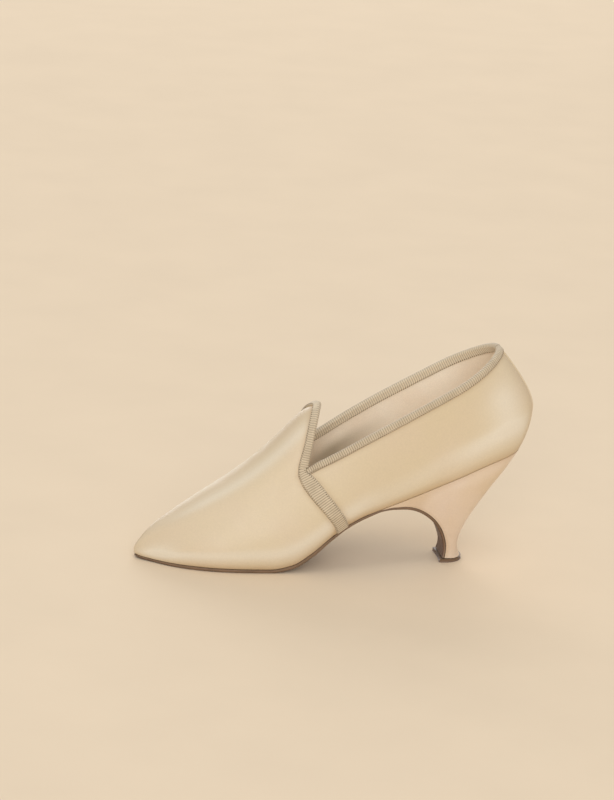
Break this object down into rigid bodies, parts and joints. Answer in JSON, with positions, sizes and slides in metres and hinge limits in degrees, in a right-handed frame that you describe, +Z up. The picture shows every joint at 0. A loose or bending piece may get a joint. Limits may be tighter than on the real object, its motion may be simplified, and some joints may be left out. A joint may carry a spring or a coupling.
{
  "type": "wedding slipper",
  "caption": "Cream kid slipper with a pointed toe, a peaked tongue, ribbed ribbon bindings and a curved covered heel, for wearing on the foot at a wedding.",
  "frame": {"origin": "on the floor, at the middle of the shoe's length and width", "axes": "+X from toe to heel, +Y across to the far side, +Z up"},
  "size_m": [0.2409, 0.0648, 0.1371],
  "materials": {
    "cream_kid": "smooth kid with a soft sheen",
    "ribbed_ribbon": "matt ribbon with fine cross ribs",
    "insole_kid": "matt kid",
    "sole_leather": "dark burnished sole leather",
    "heel_cover": "thin kid drawn over a wooden block"
  },
  "bodies": {
    "root": {"upper": "cream_kid", "tongue_binding": "ribbed_ribbon", "topline_binding": "ribbed_ribbon", "side_band_near": "ribbed_ribbon", "side_band_far": "ribbed_ribbon", "back_strip": "cream_kid", "insole": "insole_kid", "outsole": "sole_leather", "heel": "heel_cover", "top_lift": "sole_leather"}
  },
  "joints": []
}
